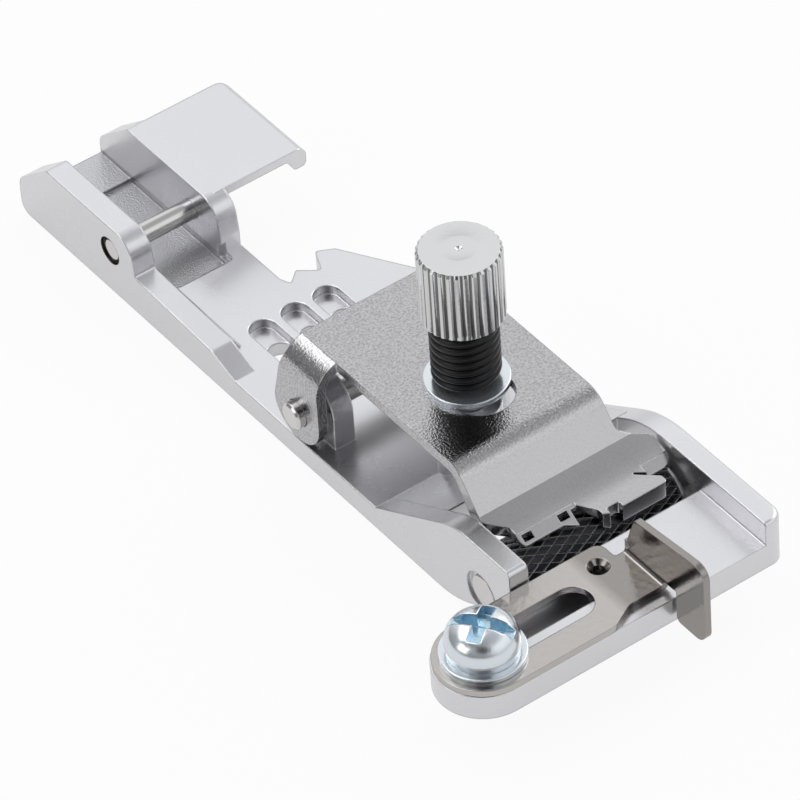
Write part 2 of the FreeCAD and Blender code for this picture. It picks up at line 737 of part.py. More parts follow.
trim = new_sketch(plate, "plate_plan", "XY_Plane", "plate_top + overrun")
outline(trim, [
    ("plate_left - overrun", "-plate_rear_ahead + overrun"),
    ("plate_left - overrun", "-shoe_front_ahead - overrun"),
    ("shoe_right + overrun", "-shoe_front_ahead - overrun"),
    ("shoe_right + overrun", "-plate_rear_ahead + overrun"),
])
outline(trim, [
    ("plate_left", "-plate_rear_ahead", "small_radius"),
    ("plate_left", "-comb_left_ahead", "soft_radius"),
    ("comb_left", "-comb_heel_ahead", "soft_radius"),
    ("comb_left", "-comb_front_ahead", "soft_radius"),
    ("comb_turn", "-comb_front_ahead", "tongue_radius"),
    ("comb_right", "-shoe_front_ahead", "tongue_radius"),
    ("tongue_right", "-shoe_front_ahead", "small_radius"),
    ("tongue_right", "-tongue_rear_ahead", "small_radius"),
    ("tongue_notch_left + tongue_notch_width / 2", "-tongue_notch_ahead - tongue_notch_width",
     "tongue_notch_radius"),
    ("tongue_notch_left", "-tongue_notch_ahead", "tongue_notch_radius"),
    ("tongue_notch_right", "-second_tongue_ahead", "small_radius"),
    ("shoe_right", "-second_tongue_ahead", "shoe_right_radius"),
    ("shoe_right", "-shoulder_end_ahead", "tongue_radius"),
    ("plate_left + plate_width", "-shoulder_ahead", "soft_radius"),
    ("plate_left + plate_width", "-plate_rear_ahead", "small_radius"),
])
pocket(plate, "plate_trim", trim, "plate_top + overrun")

cheeks = new_sketch(plate, "cheek_section", "XZ_Plane", "cheek_rear_ahead")
LEFT_CHEEK = "plate_left - cheek_to_plate"
RIGHT_CHEEK = "plate_left + plate_width + cheek_to_plate"
outline(cheeks, [
    (LEFT_CHEEK, "cheek_bottom"),
    (LEFT_CHEEK, "plate_top", "cheek_bend_radius"),
    (RIGHT_CHEEK, "plate_top", "cheek_bend_radius"),
    (RIGHT_CHEEK, "cheek_bottom"),
    (f"{RIGHT_CHEEK} - plate_sheet", "cheek_bottom"),
    (f"{RIGHT_CHEEK} - plate_sheet", "plate_top - plate_sheet", "cheek_bend_radius - plate_sheet"),
    (f"{LEFT_CHEEK} + plate_sheet", "plate_top - plate_sheet", "cheek_bend_radius - plate_sheet"),
    (f"{LEFT_CHEEK} + plate_sheet", "cheek_bottom"),
])
pad(plate, "cheeks_bent", cheeks, "cheek_front_ahead - cheek_rear_ahead")
round_edges(plate, "cheek_ends", "(cheek_front_ahead - cheek_rear_ahead) * 0.48", lambda middle, box: (
    near(middle.z, "cheek_bottom") and box.YLength < 0.01))
lean = new_sketch(plate, "cheek_lean_outline", "YZ_Plane", f"{RIGHT_CHEEK} + overrun")
outline(lean, [
    ("-cheek_rear_ahead + overrun", "hinge_level"),
    ("-cheek_rear_ahead + overrun", "plate_top + overrun"),
    ("-plate_rear_ahead", "plate_top + overrun"),
    ("-plate_rear_ahead", "plate_top - plate_sheet", "cheek_lean_radius"),
    ("-cheek_rear_ahead", "hinge_level"),
])
pocket(plate, "cheek_lean", lean, "plate_width + 2 * cheek_to_plate + 2 * overrun")

over_roller = new_sketch(plate, "roller_clearance_circle", "YZ_Plane", "shoe_right + overrun")
round_hole(over_roller, "-roller_ahead", "roller_level", "roller + 2 * roller_gap")
pocket(plate, "roller_clearance", over_roller, "shoe_right + 2 * overrun")

window = new_sketch(plate, "screw_window_outline", "XY_Plane", "plate_top + overrun")
long_slot(window, "thumbscrew_x", "-screw_window_front_ahead + screw_window / 2",
          "thumbscrew_x", "-screw_window_rear_ahead - screw_window / 2", "screw_window")
pocket(plate, "screw_window_cut", window, "plate_sheet + 2 * overrun")

# The toe of the plate: bevelled edges over the roller, two windows, a bay and a dent.
for name, right, width, front in (
        ("comb_bevel", "comb_bay_bend", "comb_bay_bend", "comb_front_ahead + overrun"),
        ("second_tongue_bevel", "shoe_right + overrun", "shoe_right + overrun - tongue_notch_right",
         "second_tongue_ahead + tongue_notch_width / 2")):
    bevel = new_sketch(plate, f"{name}_outline", "YZ_Plane", right)
    outline(bevel, [
        ("-shoe_bevel_ahead", "plate_crease"),
        ("-shoe_bevel_ahead", "shoe_dip"),
        (f"-{front}".replace(" + ", " - "), f"shoe_dip - shoe_bevel_slope * ({front} - shoe_bevel_ahead)"),
        (f"-{front}".replace(" + ", " - "), "plate_crease"),
    ])
    pocket(plate, name, bevel, width)

comb = new_sketch(plate, "comb_cuts", "XY_Plane", "plate_crease")
for number in range(2):
    left = f"comb_window_first + {number} * comb_window_pitch"
    outline(comb, [
        (left, "-comb_window_rear_ahead"),
        (left, "-comb_window_front_ahead"),
        (f"{left} + comb_window_width", "-comb_window_front_ahead"),
        (f"{left} + comb_window_width", "-comb_window_rear_ahead"),
    ])
outline(comb, [
    ("comb_bay_left", "-comb_bay_rear_ahead"),
    ("comb_bay_left", "-shoe_front_ahead - overrun"),
    ("comb_bay_right", "-shoe_front_ahead - overrun"),
    ("comb_bay_right", "-comb_bay_side_ahead", "soft_radius"),
    ("comb_bay_bend", "-comb_bay_rear_ahead", "small_radius"),
])
outline(comb, [
    ("tongue_dent_left", "-tongue_dent_ahead", "small_radius"),
    ("tongue_dent_left", "-shoe_front_ahead - overrun"),
    ("tongue_dent_left + tongue_dent_width", "-shoe_front_ahead - overrun"),
    ("tongue_dent_left + tongue_dent_width", "-tongue_dent_ahead", "small_radius"),
])
pocket(plate, "comb_cut", comb, "plate_crease - roller_level")

hinge_holes = new_sketch(plate, "hinge_hole_circle", "YZ_Plane", f"{RIGHT_CHEEK} + overrun")
round_hole(hinge_holes, "-hinge_ahead", "hinge_level", "hinge_pin + 2 * running_gap")
pocket(plate, "hinge_holes", hinge_holes, "plate_width + 2 * cheek_to_plate + 2 * overrun")

# Hinge pin, pressed into the lugs.
hinge = new_body("hinge_pin", f"{LEFT_CHEEK} - hinge_pin_stand_out", "-hinge_ahead", "hinge_level")
circle = new_sketch(hinge, "hinge_pin_circle", "YZ_Plane")
round_hole(circle, "0", "0", "hinge_pin")
pad(hinge, "hinge_rod", circle, "plate_width + 2 * cheek_to_plate + 2 * hinge_pin_stand_out")
bevel_edges(hinge, "hinge_pin_ends", "pin_chamfer", lambda middle, box: box.XLength < 0.01)

# Roller and the axle that it turns on.
roller = new_body("roller", "left_wall + roller_side_gap", "-roller_ahead", "roller_level")
circle = new_sketch(roller, "roller_circle", "YZ_Plane")
round_hole(circle, "0", "0", "roller")
pad(roller, "roller_drum", circle, "body_width - left_wall - right_wall - 2 * roller_side_gap")
bore = new_sketch(roller, "roller_bore_circle", "YZ_Plane", "body_width")
round_hole(bore, "0", "0", "axle + 2 * running_gap")
pocket(roller, "roller_bore", bore, "body_width")

axle = new_body("roller_axle", "axle_sink", "-roller_ahead", "roller_level")
circle = new_sketch(axle, "axle_circle", "YZ_Plane")
round_hole(circle, "0", "0", "axle")
pad(axle, "axle_rod", circle, "body_width - 2 * axle_sink")

# Thumbscrew: a knob with straight ridges and a dimple on top, and its long screw.
thumb = new_body("thumbscrew", "thumbscrew_x", "-thumbscrew_ahead", "knob_bottom")
turned = new_sketch(thumb, "thumbscrew_half", "XZ_Plane")
outline(turned, [
    ("0", "thumbscrew_end - knob_bottom"),
    ("screw / 2 - knob_chamfer", "thumbscrew_end - knob_bottom"),
    ("screw / 2", "thumbscrew_end - knob_bottom + knob_chamfer"),
    ("screw / 2", "0"),
    ("knob / 2 - knob_chamfer", "0"),
    ("knob / 2", "knob_chamfer"),
    ("knob / 2", "knob_height - knob_chamfer"),
    ("knob / 2 - knob_chamfer", "knob_height"),
    ("0", "knob_height"),
])
revolve(thumb, "thumbscrew_turned", turned)
notch = new_sketch(thumb, "ridge_notch", "XY_Plane", "knob_height + overrun")
outline(notch, [
    ("knob / 2 - knob_groove_depth", "0"),
    ("knob / 2 + knob_groove_depth", "knob_groove_half_width"),
    ("knob / 2 + knob_groove_depth", "-knob_groove_half_width"),
])
pocket(thumb, "ridge_groove", notch, "knob_height + 2 * overrun")
ridges = thumb.newObject("PartDesign::PolarPattern", "ridges")
ridges.Originals = [doc.getObject("ridge_groove")]
ridges.Axis = (next(item for item in thumb.Origin.OriginFeatures if item.Role == "Z_Axis"), [""])
ridges.Angle = 360
tie(ridges, "Occurrences", "knob_ridges")
thumb.Tip = ridges
doc.recompute()

# Coil spring round the thumbscrew, between the washer and the knob.
SPRING_BOTTOM = "plate_top + washer_sheet + seat_gap"
spring = new_body("tension_spring", "thumbscrew_x", "-thumbscrew_ahead", SPRING_BOTTOM)
SPRING_PITCH = "(knob_bottom - plate_top - washer_sheet - 2 * seat_gap - spring_wire) / spring_turns"
COIL_RADIUS = "(spring_outer - spring_wire) / 2"
half_turns = []
for name, across, low in (("right", COIL_RADIUS, "0"), ("left", f"-{COIL_RADIUS}", f"{SPRING_PITCH} / 2")):
    wire = new_sketch(spring, f"{name}_wire_section", "XZ_Plane")
    outline(wire, [
        (f"{across} + {sideways} * spring_wire / 2", f"{low} + spring_wire * {upwards}")
        for sideways, upwards in ((1, 0.75), (0, 1), (-1, 0.75), (-1, 0.25), (0, 0), (1, 0.25))])
    middle = f"{low} + {SPRING_PITCH} / 4 + spring_wire / 2"
    tilt = f"{SPRING_PITCH} / 4 * {across} / {COIL_RADIUS}"
    axis = wire.addGeometry(Part.LineSegment(
        FreeCAD.Vector(0, size(middle), 0),
        FreeCAD.Vector(size(tilt), size(f"{middle} + {COIL_RADIUS}"), 0)), True)
    pin_point(wire, axis, 1, "0", middle)
    pin_point(wire, axis, 2, tilt, f"{middle} + {COIL_RADIUS}")
    turn = spring.newObject("PartDesign::Revolution", f"{name}_half_turn")
    turn.Profile = wire
    turn.ReferenceAxis = (wire, ["Axis0"])
    turn.Angle = 180
    settle(spring)
    half_turns.append(turn)
coils = spring.newObject("PartDesign::LinearPattern", "spring_coils")
coils.Originals = half_turns
coils.Direction = (next(item for item in spring.Origin.OriginFeatures if item.Role == "Z_Axis"), [""])
tie(coils, "Length", f"{SPRING_PITCH} * (spring_turns - 1)")
tie(coils, "Occurrences", "spring_turns")
spring.Tip = coils
settle(spring)


def flat_washer(label, x, y, z):
    """A plain washer for a 3 mm screw."""
    body = new_body(label, x, y, z)
    face = new_sketch(body, f"{label}_face", "XY_Plane")
    round_hole(face, "0", "0", "washer")
    round_hole(face, "0", "0", "washer_bore")
    pad(body, f"{label}_disc", face, "washer_sheet")
    return body


flat_washer("tension_washer", "thumbscrew_x", "-thumbscrew_ahead", "plate_top")

# Sliding guide: a slotted strip on the bar, folded up into the fence at its right end.
guide = new_body("elastic_guide")
strip = new_sketch(guide, "strip_outline", "XY_Plane", "bar_top")
STRIP_REAR = "(wall_front_ahead + guide_rear_clearance)"
STRIP_MIDDLE = f"(bar_front_ahead + {STRIP_REAR}) / 2"
outline(strip, [
    ("guide_screw_x", f"-{STRIP_REAR}", None, "guide_screw_x", f"-{STRIP_MIDDLE}"),
    ("guide_screw_x", "-bar_front_ahead"),
    ("guide_shoulder_x", "-bar_front_ahead", "guide_shoulder_radius"),
    ("guide_neck_x", "-guide_neck_front_ahead", "guide_shoulder_radius"),
    ("guide_fold_x - guide_fold_radius", "-guide_neck_front_ahead"),
    ("guide_fold_x - guide_fold_radius", "-guide_relief_end_ahead"),
    ("guide_relief_x", "-guide_relief_end_ahead", "small_radius"),
    ("guide_relief_x", f"-{STRIP_REAR}", "guide_fold_radius"),
])
long_slot(strip, "guide_screw_x", f"-{BAR_MIDDLE}",
          "guide_slot_right - guide_slot / 2", f"-{BAR_MIDDLE}", "guide_slot")
pad(guide, "strip", strip, "guide_sheet")

fold = new_sketch(guide, "fold_section", "XZ_Plane", "guide_relief_end_ahead")
outline(fold, [
    ("guide_fold_x - guide_fold_radius - small_radius", "bar_top"),
    ("guide_fold_x", "bar_top", "guide_fold_radius"),
    ("guide_fold_x", "bar_top + 2 * guide_fold_radius"),
    ("guide_fold_x - guide_sheet", "bar_top + 2 * guide_fold_radius"),
    ("guide_fold_x - guide_sheet", "bar_top + guide_sheet", "guide_fold_radius - guide_sheet"),
    ("guide_fold_x - guide_fold_radius - small_radius", "bar_top + guide_sheet"),
])
pad(guide, "fold_bend", fold, "guide_neck_front_ahead - guide_relief_end_ahead")

fence = new_sketch(guide, "fence_outline", "YZ_Plane", "guide_fold_x - guide_sheet")
outline(fence, [
    ("-guide_relief_end_ahead", "bar_top + guide_fold_radius"),
    ("-fence_rear_ahead", "fence_rear_top", "soft_radius"),
    ("-fence_front_ahead", "fence_front_top", "fence_corner_radius"),
    ("-fence_front_ahead", "fence_bottom", "fence_corner_radius"),
    ("-fence_hang_ahead", "fence_bottom", "soft_radius"),
    ("-fence_hang_ahead", "bar_top + guide_fold_radius"),
])
pad(guide, "fence_blade", fence, "guide_sheet")

dimple = new_sketch(guide, "dimple_circle", "XY_Plane", "bar_top - guide_dimple_depth")
round_hole(dimple, "guide_dimple_x", "-guide_dimple_ahead", "guide_dimple")
pad(guide, "dimple_boss", dimple, "guide_dimple_depth + guide_sheet")
hole = new_sketch(guide, "dimple_hole_circle", "XY_Plane", "bar_top + guide_sheet + overrun")
round_hole(hole, "guide_dimple_x", "-guide_dimple_ahead", "guide_dimple_hole")
pocket(guide, "dimple_hole", hole, "guide_sheet + guide_dimple_depth + 2 * overrun")
bevel_edges(guide, "dimple_dish", "guide_dimple_dish", lambda middle, box: (
    near(middle.z, "bar_top + guide_sheet") and near(box.XLength, "guide_dimple_hole")))

# Guide screw with a domed head, cross recess and slot, on a split washer and a flat washer.
flat_washer("guide_flat_washer", "guide_screw_x", f"-{BAR_MIDDLE}", "bar_top + guide_sheet")

LOCK_BOTTOM = "bar_top + guide_sheet + washer_sheet"
lock = new_body("guide_lock_washer", "guide_screw_x", f"-{BAR_MIDDLE}", LOCK_BOTTOM)
face = new_sketch(lock, "lock_washer_face", "XY_Plane")
round_hole(face, "0", "0", "lock_washer")
round_hole(face, "0", "0", "washer_bore")
pad(lock, "lock_washer_ring", face, "lock_washer_sheet")
split = new_sketch(lock, "lock_washer_split_slot", "XZ_Plane")
outline(split, [
    ("-lock_washer_sheet", "-lock_washer_sheet / 2"),
    ("-lock_washer_sheet + lock_washer_split", "-lock_washer_sheet / 2"),
    ("lock_washer_sheet + lock_washer_split", "lock_washer_sheet * 3 / 2"),
    ("lock_washer_sheet", "lock_washer_sheet * 3 / 2"),
])
pocket(lock, "lock_washer_cut", split, "lock_washer")

HEAD_BOTTOM = f"{LOCK_BOTTOM} + lock_washer_sheet"
screw = new_body("guide_screw", "guide_screw_x", f"-{BAR_MIDDLE}", HEAD_BOTTOM)
half = new_sketch(screw, "guide_screw_half", "XZ_Plane")
SHANK_END = "bar_bottom + 0.2 - bar_top - guide_sheet - washer_sheet - lock_washer_sheet"
outline(half, [
    ("0", SHANK_END),
    ("screw / 2", SHANK_END),
    ("screw / 2", "0"),
    ("guide_head / 2", "0"),
    ("guide_head / 2", "guide_head_rim"),
    ("guide_head * 0.43", "guide_head_height * 0.7"),
    ("guide_head * 0.3", "guide_head_height * 0.93"),
    ("guide_recess_width * 0.7", "guide_head_height"),
    ("0", "guide_head_height"),
])
revolve(screw, "guide_screw_turned", half)
recess = new_sketch(screw, "cross_recess", "XY_Plane", "guide_head_height + 0.5")
ARM = "guide_recess_width / 2"
REACH = "guide_recess_length / 2"
outline(recess, [
    (ARM, ARM),
    (ARM, REACH),
    (f"-{ARM}", REACH),
    (f"-{ARM}", ARM),
    (f"-{REACH}", ARM),
    (f"-{REACH}", f"-{ARM}"),
    (f"-{ARM}", f"-{ARM}"),
    (f"-{ARM}", f"-{REACH}"),
    (ARM, f"-{REACH}"),
    (ARM, f"-{ARM}"),
    (REACH, f"-{ARM}"),
    (REACH, ARM),
])
pocket(screw, "cross_recess_cut", recess, "guide_recess_depth + 0.5")

doc.recompute()
for item in doc.Objects:
    if "Invalid" in item.State or "Error" in item.State:
        raise RuntimeError(f"{item.Label} did not recompute: {item.State}")

os.makedirs("parts", exist_ok=True)
for body in doc.findObjects("PartDesign::Body"):
    shape = body.Shape
    if shape.isNull() or not shape.isValid():
        raise RuntimeError(f"{body.Label} has no valid shape")
    print(body.Label, len(shape.Solids), "solid", round(shape.Volume, 3), "mm3")
    shape.exportStep(f"parts/{body.Label}.step")
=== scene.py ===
import json
import math

import bmesh
import bpy
from mathutils import Matrix, Vector

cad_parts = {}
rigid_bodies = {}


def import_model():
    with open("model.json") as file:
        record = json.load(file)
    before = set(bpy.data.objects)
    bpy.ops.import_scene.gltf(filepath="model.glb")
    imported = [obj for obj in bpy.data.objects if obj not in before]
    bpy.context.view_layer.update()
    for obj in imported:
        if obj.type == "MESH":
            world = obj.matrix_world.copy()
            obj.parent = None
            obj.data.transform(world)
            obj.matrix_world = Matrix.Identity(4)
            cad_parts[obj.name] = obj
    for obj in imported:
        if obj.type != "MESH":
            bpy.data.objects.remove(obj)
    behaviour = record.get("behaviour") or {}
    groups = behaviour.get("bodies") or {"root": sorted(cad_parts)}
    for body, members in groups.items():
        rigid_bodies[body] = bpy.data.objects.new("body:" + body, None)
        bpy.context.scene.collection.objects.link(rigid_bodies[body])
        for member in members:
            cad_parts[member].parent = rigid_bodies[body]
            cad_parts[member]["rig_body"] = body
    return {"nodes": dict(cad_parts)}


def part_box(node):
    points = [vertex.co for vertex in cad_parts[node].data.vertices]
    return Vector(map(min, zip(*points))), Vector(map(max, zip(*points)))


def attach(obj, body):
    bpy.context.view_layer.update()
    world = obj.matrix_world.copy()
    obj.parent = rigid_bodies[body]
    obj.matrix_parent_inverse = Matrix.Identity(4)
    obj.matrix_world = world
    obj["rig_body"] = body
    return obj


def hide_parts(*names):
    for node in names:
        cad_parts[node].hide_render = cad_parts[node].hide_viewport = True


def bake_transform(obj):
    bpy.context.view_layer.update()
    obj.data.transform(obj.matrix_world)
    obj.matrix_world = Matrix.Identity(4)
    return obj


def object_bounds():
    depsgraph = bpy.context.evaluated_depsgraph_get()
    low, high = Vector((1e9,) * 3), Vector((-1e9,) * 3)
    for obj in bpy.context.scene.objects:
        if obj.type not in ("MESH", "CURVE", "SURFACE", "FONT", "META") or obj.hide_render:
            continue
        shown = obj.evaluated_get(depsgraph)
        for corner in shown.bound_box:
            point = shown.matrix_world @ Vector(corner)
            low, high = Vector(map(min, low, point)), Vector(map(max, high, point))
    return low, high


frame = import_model()
cad_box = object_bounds()


# Camera. The photograph was taken with a long lens, from above the left front
# corner, so the foot runs from the upper left of the picture to the lower right.
camera_data = bpy.data.cameras.new("camera")
camera_data.sensor_width = 36.0
camera_data.lens = 320.9
camera_data.clip_start = 0.01
camera_data.clip_end = 20.0
camera = bpy.data.objects.new("camera", camera_data)
bpy.context.scene.collection.objects.link(camera)
picture_right = Vector((0.80226, -0.59456, -0.05374))
picture_up = Vector((0.43655, 0.52287, 0.73215))
towards_eye = picture_right.cross(picture_up)
stand = Matrix((picture_right, picture_up, towards_eye)).transposed().to_4x4()
stand.translation = Vector((-0.2296, -0.3779, 0.3915))
camera.matrix_world = stand
bpy.context.scene.camera = camera


# Table and studio. A white sheet lies under the foot, and shows white to the
# camera and in the metal, but takes the soft shadow. The room is darker on the
# left, and a dark hood stands round the lens, as the metal mirrors them.
def reckoned(tree, operation, *terms):
    """The output of a math node whose terms are numbers or other outputs."""
    node = tree.nodes.new("ShaderNodeMath")
    node.operation = operation
    for socket, term in zip(node.inputs, terms):
        if isinstance(term, float):
            socket.default_value = term
        else:
            tree.links.new(term, socket)
    return node.outputs[0]


def rescaled(tree, value, low, high, at_low, at_high):
    """A value carried from the range low to high over to at_low to at_high."""
    node = tree.nodes.new("ShaderNodeMapRange")
    for name, number in (("From Min", low), ("From Max", high),
                         ("To Min", at_low), ("To Max", at_high)):
        node.inputs[name].default_value = number
    tree.links.new(value, node.inputs["Value"])
    return node.outputs["Result"]


table_width = 3.0
table_gap = 0.0002
paper_white = (0.80, 0.80, 0.80, 1.0)
pure_white = (1.0, 1.0, 1.0, 1.0)
glow_to_camera = 0.92
glow_in_mirrors = 0.62
horizon = (0.60, 0.60, 0.61, 1.0)
zenith = (0.36, 0.36, 0.38, 1.0)
sky_bands = ((0.12, 0.62), (0.36, 0.88), (0.70, 0.98), (0.88, 0.48))
dark_side = (-0.45, 0.15, 0.40, 1.16)
lens_hood = (0.93, 0.98, 1.0, 0.04)
foot_middle = Vector((0.0, -0.02, 0.0))

bpy.context.scene.view_settings.view_transform = "Standard"
low_corner = cad_box[0]
bpy.ops.object.select_all(action="DESELECT")
bpy.ops.mesh.primitive_plane_add(
    size=table_width, location=(0.0, 0.0, low_corner[2] - table_gap))
table = bpy.context.object
table.name = "table"
sheet = bpy.data.materials.new("white_sheet")
sheet.use_nodes = True
tree = sheet.node_tree
paper = tree.nodes["Principled BSDF"]
paper.inputs["Base Color"].default_value = paper_white
paper.inputs["Roughness"].default_value = 0.7
glow = tree.nodes.new("ShaderNodeEmission")
glow.inputs["Color"].default_value = pure_white
ray = tree.nodes.new("ShaderNodeLightPath")
seen = reckoned(tree, "MULTIPLY", ray.outputs["Is Camera Ray"], glow_to_camera)
shown = reckoned(tree, "MULTIPLY_ADD", ray.outputs["Is Glossy Ray"], glow_in_mirrors, seen)
paper_or_glow = tree.nodes.new("ShaderNodeMixShader")
tree.links.new(shown, paper_or_glow.inputs[0])
tree.links.new(paper.outputs[0], paper_or_glow.inputs[1])
tree.links.new(glow.outputs[0], paper_or_glow.inputs[2])
tree.links.new(paper_or_glow.outputs[0], tree.nodes["Material Output"].inputs["Surface"])
table.data.materials.append(sheet)

world = bpy.data.worlds.new("studio")
bpy.context.scene.world = world
world.use_nodes = True
tree = world.node_tree
tree.nodes.clear()
out = tree.nodes.new("ShaderNodeOutputWorld")
direction = tree.nodes.new("ShaderNodeTexCoord")
split = tree.nodes.new("ShaderNodeSeparateXYZ")
tree.links.new(direction.outputs["Generated"], split.inputs[0])
sky = tree.nodes.new("ShaderNodeValToRGB")
sky.color_ramp.elements[0].color = horizon
sky.color_ramp.elements[1].color = zenith
for level, shade in sky_bands:
    band = sky.color_ramp.elements.new(level)
    band.color = (shade * 0.98, shade * 0.99, shade, 1.0)
tree.links.new(split.outputs["Z"], sky.inputs[0])
towards_lens = tree.nodes.new("ShaderNodeVectorMath")
towards_lens.operation = "DOT_PRODUCT"
towards_lens.inputs[1].default_value = towards_eye
tree.links.new(direction.outputs["Generated"], towards_lens.inputs[0])
side_light = rescaled(tree, split.outputs["X"], *dark_side)
past_hood = rescaled(tree, towards_lens.outputs["Value"], *lens_hood)
room = tree.nodes.new("ShaderNodeBackground")
tree.links.new(sky.outputs[0], room.inputs["Color"])
tree.links.new(reckoned(tree, "MULTIPLY", side_light, past_hood), room.inputs["Strength"])
backdrop = tree.nodes.new("ShaderNodeBackground")
backdrop.inputs["Color"].default_value = pure_white
ray = tree.nodes.new("ShaderNodeLightPath")
room_or_backdrop = tree.nodes.new("ShaderNodeMixShader")
tree.links.new(ray.outputs["Is Camera Ray"], room_or_backdrop.inputs[0])
tree.links.new(room.outputs[0], room_or_backdrop.inputs[1])
tree.links.new(backdrop.outputs[0], room_or_backdrop.inputs[2])
tree.links.new(room_or_backdrop.outputs[0], out.inputs["Surface"])

for name, where, size, power in (
    ("lamp_above", (-0.15, 0.30, 0.75), 0.60, 2.2),
    ("lamp_left", (-0.70, 0.05, 0.35), 0.45, 0.9),
    ("lamp_right", (0.60, 0.10, 0.45), 0.40, 0.7),
):
    lamp_data = bpy.data.lights.new(name, "AREA")
    lamp_data.shape = "SQUARE"
    lamp_data.size = size
    lamp_data.energy = power
    lamp = bpy.data.objects.new(name, lamp_data)
    bpy.context.scene.collection.objects.link(lamp)
    lamp.location = where
    lamp.rotation_euler = (foot_middle - Vector(where)).to_track_quat("-Z", "Y").to_euler()


# Foot body. One casting from the heel to the front bar, satin chrome plated, so
# its skin is a fine even grain under a soft shine. The floor of the pocket
# between the ears has a rougher grain and painted shade laid on it, and a ring
# of painted shade circles the snap pin.
def plated(name, colour, roughness, spread, grain, depth, metal=1.0, edge=0.00012):
    """A plated metal: a drifting shade and gloss, a raised grain and softened edges."""
    darkest_share = 0.93
    finish = bpy.data.materials.new(name)
    finish.use_nodes = True
    tree = finish.node_tree
    skin = tree.nodes["Principled BSDF"]
    skin.inputs["Metallic"].default_value = metal
    place = tree.nodes.new("ShaderNodeTexCoord")
    place.name = "place"
    drift = tree.nodes.new("ShaderNodeTexNoise")
    drift.inputs["Scale"].default_value = 120.0
    drift.inputs["Detail"].default_value = 3.0
    tree.links.new(place.outputs["Object"], drift.inputs["Vector"])
    shades = tree.nodes.new("ShaderNodeMixRGB")
    shades.inputs["Color1"].default_value = (*[part * darkest_share for part in colour], 1.0)
    shades.inputs["Color2"].default_value = (*colour, 1.0)
    tree.links.new(drift.outputs["Fac"], shades.inputs["Fac"])
    tree.links.new(shades.outputs["Color"], skin.inputs["Base Color"])
    gloss = rescaled(tree, drift.outputs["Fac"], 0.3, 0.7, roughness - spread, roughness + spread)
    tree.links.new(gloss, skin.inputs["Roughness"])
    specks = tree.nodes.new("ShaderNodeTexNoise")
    specks.name = "specks"
    specks.inputs["Scale"].default_value = grain
    specks.inputs["Detail"].default_value = 2.0
    tree.links.new(place.outputs["Object"], specks.inputs["Vector"])
    relief = tree.nodes.new("ShaderNodeBump")
    relief.name = "relief"
    relief.inputs["Strength"].default_value = 1.0
    relief.inputs["Distance"].default_value = depth
    tree.links.new(specks.outputs["Fac"], relief.inputs["Height"])
    soft = tree.nodes.new("ShaderNodeBevel")
    soft.samples = 8
    soft.inputs["Radius"].default_value = edge
    tree.links.new(soft.outputs["Normal"], relief.inputs["Normal"])
    tree.links.new(relief.outputs["Normal"], skin.inputs["Normal"])
    return finish


def measures(tree):
    """How far a point of the piece lies along each axis, as outputs X, Y and Z."""
    split = tree.nodes.new("ShaderNodeSeparateXYZ")
    tree.links.new(tree.nodes["place"].outputs["Object"], split.inputs[0])
    return split.outputs


def within(tree, *tests):
    """A mask that is one where each value passes its test against its limit."""
    gates = [reckoned(tree, operation, value, limit) for value, operation, limit in tests]
    mask = gates[0]
    for gate in gates[1:]:
        mask = reckoned(tree, "MULTIPLY", mask, gate)
    return mask


def tinted(tree, amount, colour):
    """Lays a colour over a finish by an amount that other nodes give."""
    base = tree.nodes["Principled BSDF"].inputs["Base Color"]
    under = base.links[0].from_socket
    mix = tree.nodes.new("ShaderNodeMixRGB")
    mix.inputs["Color2"].default_value = (*colour, 1.0)
    tree.links.new(amount, mix.inputs["Fac"])
    tree.links.new(under, mix.inputs["Color1"])
    tree.links.new(mix.outputs["Color"], base)


def dress(node, finish):
    """Gives a solid of the frame its finish in place of the plain one."""
    mesh = frame["nodes"][node].data
    mesh.materials.clear()
    mesh.materials.append(finish)


chrome_grain_depth = 0.000007
pocket_grain_depth = 0.000048
pocket_half_width = 0.0031
pocket_front = -0.0052
pocket_floor_low = 0.0010
pocket_floor_high = 0.0022
pocket_shade_amount = 0.5
pocket_shade_grey = (0.36, 0.36, 0.375)
pin_level = 0.0045
pin_ring_radius = 0.00131
pin_ring_bottom = 0.0046
pin_ring_shade_colour = (0.09, 0.08, 0.075)

satin_chrome = plated("satin_chrome", (0.715, 0.712, 0.735), metal=0.95, roughness=0.27,
                      spread=0.05, grain=7000.0, depth=chrome_grain_depth, edge=0.00022)
tree = satin_chrome.node_tree
along = measures(tree)
aside = reckoned(tree, "ABSOLUTE", along["X"])
in_pocket = within(tree, (aside, "LESS_THAN", pocket_half_width),
                   (along["Y"], "GREATER_THAN", pocket_front),
                   (along["Z"], "GREATER_THAN", pocket_floor_low),
                   (along["Z"], "LESS_THAN", pocket_floor_high))
grain_depth = rescaled(tree, in_pocket, 0.0, 1.0, chrome_grain_depth, pocket_grain_depth)
tree.links.new(grain_depth, tree.nodes["relief"].inputs["Distance"])
# Painted shade: the pocket floor between the ears is laid over with grey for the shade that falls
# in it.
tinted(tree, rescaled(tree, in_pocket, 0.0, 1.0, 0.0, pocket_shade_amount), pocket_shade_grey)
# Painted shade: a near black ring round the snap pin's axis on the ears, for the shade in the
# recess round the pin.
above_pin = reckoned(tree, "SUBTRACT", along["Z"], pin_level)
above_squared = reckoned(tree, "MULTIPLY", above_pin, above_pin)
from_axis = reckoned(
    tree, "SQRT", reckoned(tree, "MULTIPLY_ADD", along["Y"], along["Y"], above_squared))
in_ring = within(tree, (from_axis, "LESS_THAN", pin_ring_radius),
                 (aside, "GREATER_THAN", pin_ring_bottom))
tinted(tree, in_ring, pin_ring_shade_colour)
dress("foot_body", satin_chrome)


# Snap pin. The cross pin that the machine's foot holder closes on, a length of
# hardened steel wire, ground bright and pressed through both ears.
ground_steel = plated("ground_steel", (0.66, 0.65, 0.64), roughness=0.18, spread=0.05,
                      grain=3000.0, depth=0.000006)
dress("snap_pin", ground_steel)
